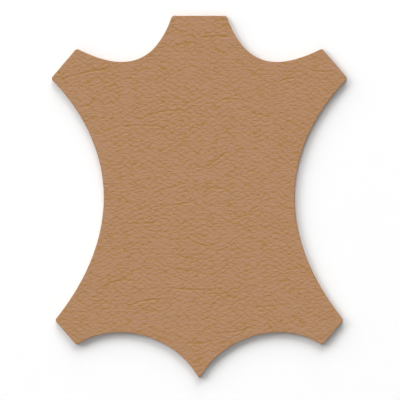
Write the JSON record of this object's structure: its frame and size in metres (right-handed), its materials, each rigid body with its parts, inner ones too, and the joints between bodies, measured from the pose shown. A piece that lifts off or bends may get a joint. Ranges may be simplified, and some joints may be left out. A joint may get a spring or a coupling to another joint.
{
  "type": "piece of leather",
  "caption": "Flat piece of tan pebble-grained leather, cut to the outline of a small hide with neck, shanks, waisted flanks and tail.",
  "frame": {"origin": "under the middle of the piece, on the surface that its flesh side rests on", "axes": "+Y along the backbone line towards the neck, +Z out of the grain side, +X to the right with the grain side up"},
  "size_m": [0.1062, 0.1302, 0.0022],
  "materials": {
    "tan_leather": "semi-matt pigmented grain side, raw cut edge and napped flesh side"
  },
  "bodies": {
    "root": {"leather_hide_cut": "tan_leather"}
  },
  "joints": []
}
